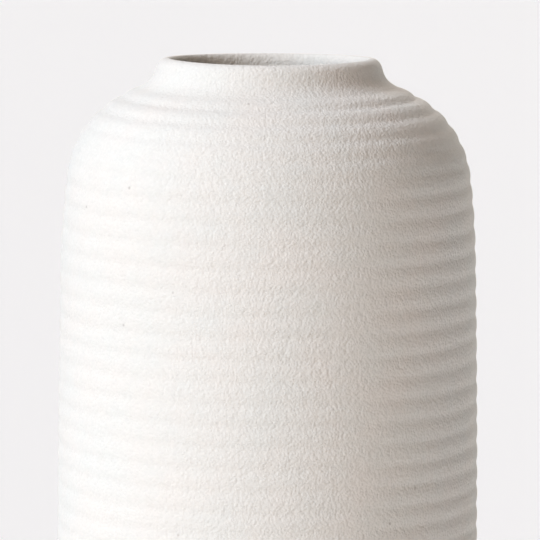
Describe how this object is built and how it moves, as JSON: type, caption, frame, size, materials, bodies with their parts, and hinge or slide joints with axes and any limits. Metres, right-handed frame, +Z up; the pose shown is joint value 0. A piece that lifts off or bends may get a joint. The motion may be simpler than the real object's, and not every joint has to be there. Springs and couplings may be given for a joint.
{
  "type": "bud vase",
  "caption": "Upright ceramic bud vase with level throwing ribs, a round shoulder and a low collar round an open mouth.",
  "frame": {"origin": "on the vase's axis, in the plane of the undersides of the felt pads that it stands on", "axes": "+Z up along the vase's axis; +Y over the first felt pad"},
  "size_m": [0.0904, 0.0904, 0.18],
  "materials": {
    "bare_stoneware": "bare fired stoneware, matt",
    "matt_glaze": "matt white sandy glaze",
    "liner_glaze": "satin white glaze",
    "felt": "pressed felt"
  },
  "bodies": {
    "root": {"stoneware_body": "bare_stoneware", "outer_glaze": "matt_glaze", "liner_glaze": "liner_glaze", "foot_pad_1": "felt", "foot_pad_2": "felt", "foot_pad_3": "felt"}
  },
  "joints": []
}
